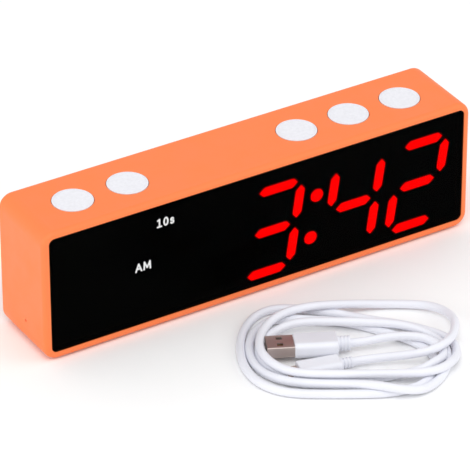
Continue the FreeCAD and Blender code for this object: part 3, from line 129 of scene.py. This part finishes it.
MIDDLE_TURN = [
    (66.3, -45.8, 1.75), (62.3, -40.7, 1.75), (57, -36.5, 1.75), (51, -33, 1.75), (44, -29.2, 1.75),
    (37, -25.8, 1.75), (29, -23.8, 1.75), (20, -22.8, 1.75), (11, -22, 1.75), (4, -22.9, 1.75),
    (-0.8, -27, 1.75), (-3.8, -33, 1.75), (-5.3, -39.5, 1.75), (-5.4, -46, 1.75), (-4.3, -52, 1.75),
    (-1.9, -57.7, 1.75), (2, -62.5, 1.9), (7, -66.5, 2.5), (13.5, -69.2, 2.9), (22, -70.3, 3.0),
    (31, -70.6, 3.0), (39, -72.4, 4.3), (45.5, -75.1, 5.5), (52, -76.8, 5.2), (57.5, -76, 3.9),
    (62.8, -73.4, 2.4), (67.3, -68.5, 1.8), (71, -62, 1.75), (73.2, -54.5, 1.75),
]
INNER_TURN = [
    (73.5, -47, 1.75), (71.8, -40.5, 1.9), (67.5, -36, 2.8), (61, -33.3, 4.6), (54, -31.3, 5.25),
    (45, -30, 5.25), (36, -29.5, 5.25), (27, -29.3, 5.25), (18, -29.2, 5.25), (11, -29.8, 4.4),
    (5, -32.6, 2.8), (0.4, -37, 1.8), (-1.6, -42.5, 1.75), (-1.6, -48.5, 1.75), (0.4, -54.5, 1.75),
    (5, -59.8, 1.75), (10.5, -64, 1.75), (18, -66.6, 1.75), (30, -67, 1.75), (40, -66.2, 1.75),
    (46, -64.3, 1.75), (52, -62.6, 1.9), (58, -62.2, 2.8), (63.2, -61.4, 4.2), (68, -58.2, 5.45),
]
TO_USB_A_PLUG = [
    (70.9, -54.2, 4.7), (71.5, -49.9, 4.2), (70.5, -46, 4.2), (67.9, -43.2, 4.5), (64.6, -41.4, 5.2),
    (61, -40.5, 5.4), (56, -39.9, 5.4), (50.5, -40.4, 5.3), (45, -41.6, 5.0), (39.6, -42.9, 4.5),
    (34.6, -43.4, 4.35),
]
LEAD_LINE = FROM_SMALL_PLUG + UPPER_TURN + OUTER_TURN + MIDDLE_TURN + INNER_TURN + TO_USB_A_PLUG


def in_row_frame(u, v, height):
    """A point of the lead's own frame, in metres in the row frame."""
    flat = Matrix.Rotation(LEAD_TURN, 3, "Z") @ Vector((u, v, height)) * MM
    return flat + Vector((0, case_front, 0))


def make_lead():
    """The whole cord between the two plugs, as one smooth line."""
    curve = bpy.data.curves.new("lead_cord", "CURVE")
    curve.dimensions = "3D"
    curve.bevel_depth = 1.0  # multiplied by each point's radius
    curve.bevel_resolution = CORD_ROUNDNESS
    curve.resolution_u = CORD_STEPS
    spline = curve.splines.new("NURBS")
    spline.points.add(len(LEAD_LINE) - 1)
    for point, place in zip(spline.points, LEAD_LINE):
        point.co = (*in_row_frame(*place), 1.0)
        point.radius = CORD_DIAMETER / 2
    spline.order_u = CORD_SPLINE_ORDER
    spline.use_endpoint_u = True
    lead = bpy.data.objects.new("lead_cord", curve)
    bpy.context.scene.collection.objects.link(lead)
    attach(lead, "lead")
    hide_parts("lead_coil", "lead_tail_usb_a", "lead_tail_small_plug")
    return lead


lead = make_lead()


# ---------------------------------------------------------------- materials

NOISE_LOW, NOISE_HIGH = 0.3, 0.7  # nearly all of a noise's values lie between these
FINE_DETAIL, BROAD_DETAIL = 4.0, 2.0
MIX_VALUE, MIX_FIRST, MIX_SECOND, MIX_RESULT = 0, 6, 7, 2  # a colour mix's sockets have the same names


def grey(value):
    """A grey of the renderer's own scale, from 0 to 1."""
    return (value, value, value, 1.0)


def linear(red, green, blue):
    """A colour given in 0 to 255 as seen on screen, as the renderer's own values."""
    def channel(c):
        c = c / 255
        return c / 12.92 if c <= 0.04045 else ((c + 0.055) / 1.055) ** 2.4
    return (channel(red), channel(green), channel(blue), 1.0)


def new_material(name):
    """A material with its node tree, its shader and the object's own coordinates."""
    material = bpy.data.materials.new(name)
    material.use_nodes = True
    tree = material.node_tree
    shader = tree.nodes["Principled BSDF"]
    place = tree.nodes.new("ShaderNodeTexCoord")
    return material, tree, shader, place.outputs["Object"]


def noise(tree, place, scale, detail, stretch=None):
    """A noise of the given scale per metre, drawn out along the axes whose stretch is under 1."""
    texture = tree.nodes.new("ShaderNodeTexNoise")
    texture.inputs["Scale"].default_value = scale
    texture.inputs["Detail"].default_value = detail
    if stretch is not None:
        mapping = tree.nodes.new("ShaderNodeMapping")
        mapping.inputs["Scale"].default_value = stretch
        tree.links.new(place, mapping.inputs["Vector"])
        place = mapping.outputs["Vector"]
    tree.links.new(place, texture.inputs["Vector"])
    return texture.outputs["Fac"]


def spread(tree, value, low, high):
    """Spreads a noise over the range from low to high."""
    mapping = tree.nodes.new("ShaderNodeMapRange")
    mapping.inputs["From Min"].default_value = NOISE_LOW
    mapping.inputs["From Max"].default_value = NOISE_HIGH
    mapping.inputs["To Min"].default_value = low
    mapping.inputs["To Max"].default_value = high
    tree.links.new(value, mapping.inputs["Value"])
    return mapping.outputs["Result"]


def tint(tree, value, first, second):
    """Mixes two colours by a value."""
    mix = tree.nodes.new("ShaderNodeMix")
    mix.data_type = "RGBA"
    mix.inputs[MIX_FIRST].default_value = first
    mix.inputs[MIX_SECOND].default_value = second
    tree.links.new(value, mix.inputs[MIX_VALUE])
    return mix.outputs[MIX_RESULT]


def bump(tree, value, strength, depth):
    """A normal raised by a value, at most as deep as depth."""
    node = tree.nodes.new("ShaderNodeBump")
    node.inputs["Strength"].default_value = strength
    node.inputs["Distance"].default_value = depth
    tree.links.new(value, node.inputs["Height"])
    return node.outputs["Normal"]


def darker(colour, factor):
    """A colour dimmed by a factor below 1."""
    return tuple(c * factor for c in colour[:3]) + (1.0,)


def moulded(name, colour, roughness=0.5, spread_of=0.08, grain=2600.0, strength=0.25, shade=0.94,
            specular=0.5, metallic=0.0, stretch=None, depth=0.00004, patches=90.0):
    """Moulded or rolled surface: fine grain in the bump, patchy roughness and a slight shade change."""
    material, tree, shader, place = new_material(name)
    fine = noise(tree, place, grain, FINE_DETAIL, stretch)
    broad = noise(tree, place, patches, BROAD_DETAIL, stretch)
    shader.inputs["Metallic"].default_value = metallic
    shader.inputs["Specular IOR Level"].default_value = specular
    tree.links.new(tint(tree, spread(tree, broad, 0.0, 1.0), darker(colour, shade), colour),
                   shader.inputs["Base Color"])
    tree.links.new(spread(tree, broad, roughness - spread_of, roughness + spread_of),
                   shader.inputs["Roughness"])
    tree.links.new(bump(tree, fine, strength, depth), shader.inputs["Normal"])
    return material


def glowing(name, colour, unlit_colour, strength, mottling=0.03, grain=3000.0, roughness=0.6,
            bump_strength=0.1, depth=0.00002):
    """Light diffuser: emits evenly, with a faint mottle from the particles in the plastic."""
    material, tree, shader, place = new_material(name)
    mottle = noise(tree, place, grain, BROAD_DETAIL)
    shader.inputs["Base Color"].default_value = unlit_colour
    shader.inputs["Roughness"].default_value = roughness
    shader.inputs["Specular IOR Level"].default_value = 0.0
    shader.inputs["Emission Color"].default_value = colour
    tree.links.new(spread(tree, mottle, strength * (1 - mottling), strength * (1 + mottling)),
                   shader.inputs["Emission Strength"])
    tree.links.new(bump(tree, mottle, bump_strength, depth), shader.inputs["Normal"])
    return material


def smoked_lens(cover=0.8, shine=0.015, roughness=(0.05, 0.12), marks_scale=700.0, marks_detail=5.0,
                marks_stretch=(0.15, 1.0, 1.0), bump_strength=0.02, depth=0.00001):
    """Black see-through panel with hardly any shine and faint polishing marks; each of its two faces
    holds back the share of light that cover gives."""
    material, tree, shader, place = new_material("lens_black")
    marks = noise(tree, place, marks_scale, marks_detail, marks_stretch)
    shader.inputs["Base Color"].default_value = grey(0.0)
    shader.inputs["Alpha"].default_value = cover
    shader.inputs["Specular IOR Level"].default_value = shine
    tree.links.new(spread(tree, marks, *roughness), shader.inputs["Roughness"])
    tree.links.new(bump(tree, marks, bump_strength, depth), shader.inputs["Normal"])
    material.surface_render_method = "BLENDED"
    return material


RED_LIGHT = (1.0, 0.0, 0.0, 1.0)
RED_PLASTIC = (0.02, 0.0, 0.0, 1.0)
ORANGE = linear(253, 128, 66)
WHITE_CAP = linear(236, 236, 242)
CORD_WHITE = linear(237, 238, 246)

orange = moulded("case_orange", ORANGE, roughness=0.5, grain=2200.0, strength=0.22, shade=0.97)
cap_white = moulded("cap_white", WHITE_CAP, roughness=0.42, grain=1400.0, strength=0.5, shade=0.93,
                    depth=0.0002, patches=800.0)
cord_white = moulded("cord_white", CORD_WHITE, roughness=0.46, grain=1800.0, strength=0.3, shade=0.96)
grip_white = moulded("grip_white", darker(CORD_WHITE, 0.97), roughness=0.4, grain=2400.0, strength=0.2,
                     shade=0.97)
black_plastic = moulded("frame_black", grey(0.001), roughness=0.8, specular=0.05)
foam = moulded("gasket_foam", grey(0.004), roughness=0.9, grain=4000.0, strength=0.5)
lens = smoked_lens()
# These are seen through the dark lens, so they are far brighter than they look.
lit_red = glowing("segment_lit", RED_LIGHT, RED_PLASTIC, strength=26.0)
label_white = glowing("label_white", grey(1.0), grey(1.0), strength=20.0)
unlit = moulded("segment_unlit", (0.0012, 0.0008, 0.0008, 1.0), roughness=0.7, specular=0.05)
board = moulded("board_green", linear(24, 92, 52), roughness=0.4, grain=900.0, strength=0.15, shade=0.8)
chip_black = moulded("chip_black", linear(32, 32, 34), roughness=0.6, strength=0.3)
led = moulded("led_body", linear(236, 228, 200), roughness=0.35)
steel = moulded("screw_steel", linear(176, 176, 180), roughness=0.32, metallic=1.0, grain=1500.0,
                stretch=(1.0, 1.0, 0.2), strength=0.15, shade=0.85)
plug_metal = moulded("plug_metal", linear(206, 190, 184), roughness=0.46, metallic=0.8, grain=1600.0,
                     stretch=(0.2, 1.0, 1.0), strength=0.12, shade=0.8)
contact = moulded("contact_gold", linear(214, 170, 84), roughness=0.25, metallic=1.0, strength=0.08)
insert = moulded("plug_insert", linear(225, 225, 228), roughness=0.45)
wrap = moulded("cell_wrap", linear(38, 92, 168), roughness=0.3, grain=500.0, strength=0.2, shade=0.85)
inner = moulded("inner_plastic", linear(70, 70, 73), roughness=0.55)
wire = moulded("wire_red", linear(186, 36, 30), roughness=0.4)
rubber = moulded("rubber_black", linear(34, 34, 36), roughness=0.85, grain=3500.0, strength=0.5, shade=0.8)
ribbon = moulded("ribbon_grey", linear(150, 152, 156), roughness=0.45)

FINISH = {
    "case_shell": orange, "rear_cover": orange, "front_lens": lens, "lens_gasket": foam,
    "display_frame": black_plastic, "am_indicator": label_white, "ten_second_indicator": label_white,
    "hour_ones_lit": lit_red, "minute_tens_lit": lit_red, "minute_ones_lit": lit_red,
    "colon_dots": lit_red, "hour_tens_unlit": unlit, "hour_ones_unlit": unlit,
    "minute_tens_unlit": unlit, "minute_ones_unlit": unlit, "display_board": board, "main_board": board,
    "button_board": board, "mcu_chip": chip_black, "driver_chip": chip_black, "buzzer": chip_black,
    "switch_housings": chip_black, "display_header": chip_black, "usb_port_tongue": chip_black,
    "display_leds": led, "board_sockets": led, "display_screws": steel, "main_board_screws": steel,
    "button_board_screws": steel, "rear_cover_screws": steel, "usb_port_shell": steel,
    "microphone": steel, "usb_a_shell": plug_metal, "small_plug_shell": plug_metal,
    "usb_a_contacts": contact, "usb_a_tongue": insert, "small_plug_tongue": insert,
    "usb_a_grip": grip_white, "small_plug_grip": grip_white, "battery_cell": wrap,
    "battery_cradle": inner, "battery_leads": wire, "microphone_leads": wire, "rubber_feet": rubber,
    "microphone_boot": rubber, "button_ribbon": ribbon,
}
for number in range(1, 6):
    FINISH[f"button_cap_{number}"] = cap_white
    FINISH[f"switch_plunger_{number}"] = inner
for name, material in FINISH.items():
    for material_slot in nodes[name].material_slots:
        material_slot.material = material
lead.data.materials.append(cord_white)


# ---------------------------------------------------------------- floor and light

FLOOR_HALF_WIDTH = 3.0
FLOOR_DROP = 0.0002  # just under the table level, so that nothing lies in the floor's own plane
LIGHTS = [  # name, place, diameter, watts
    ("key", (-0.5, -0.9, 1.5), 1.0, 8.4),
    ("fill", (1.1, -0.9, 0.9), 1.0, 3.0),
    ("side", (-1.5, 0.1, 0.5), 0.8, 4.0),
]
WORLD_STRENGTH = 0.8


def make_floor():
    mesh = bpy.data.meshes.new("floor")
    half = FLOOR_HALF_WIDTH
    mesh.from_pydata([(-half, -half, 0), (half, -half, 0), (half, half, 0), (-half, half, 0)], [],
                     [(0, 1, 2, 3)])
    floor = bpy.data.objects.new("floor", mesh)
    floor.location.z = -FLOOR_DROP
    bpy.context.scene.collection.objects.link(floor)
    mesh.materials.append(moulded("floor_white", grey(0.985), roughness=0.9, grain=60.0,
                                  strength=0.02, shade=0.995, specular=0.1))


def make_light(name, place, aim, diameter, watts):
    data = bpy.data.lights.new(name, "AREA")
    data.shape = "DISK"
    data.size = diameter
    data.energy = watts
    light = bpy.data.objects.new(name, data)
    light.matrix_world = looking(Vector(place), aim)
    bpy.context.scene.collection.objects.link(light)


def make_world():
    world = bpy.data.worlds.new("studio")
    bpy.context.scene.world = world
    world.use_nodes = True
    background = world.node_tree.nodes["Background"]
    background.inputs["Color"].default_value = grey(1.0)
    background.inputs["Strength"].default_value = WORLD_STRENGTH


make_floor()
middle = (cad_box[0] + cad_box[1]) / 2
for name, place, diameter, watts in LIGHTS:
    make_light(name, place, middle, diameter, watts)
make_world()
bpy.context.scene.view_settings.view_transform = "Standard"
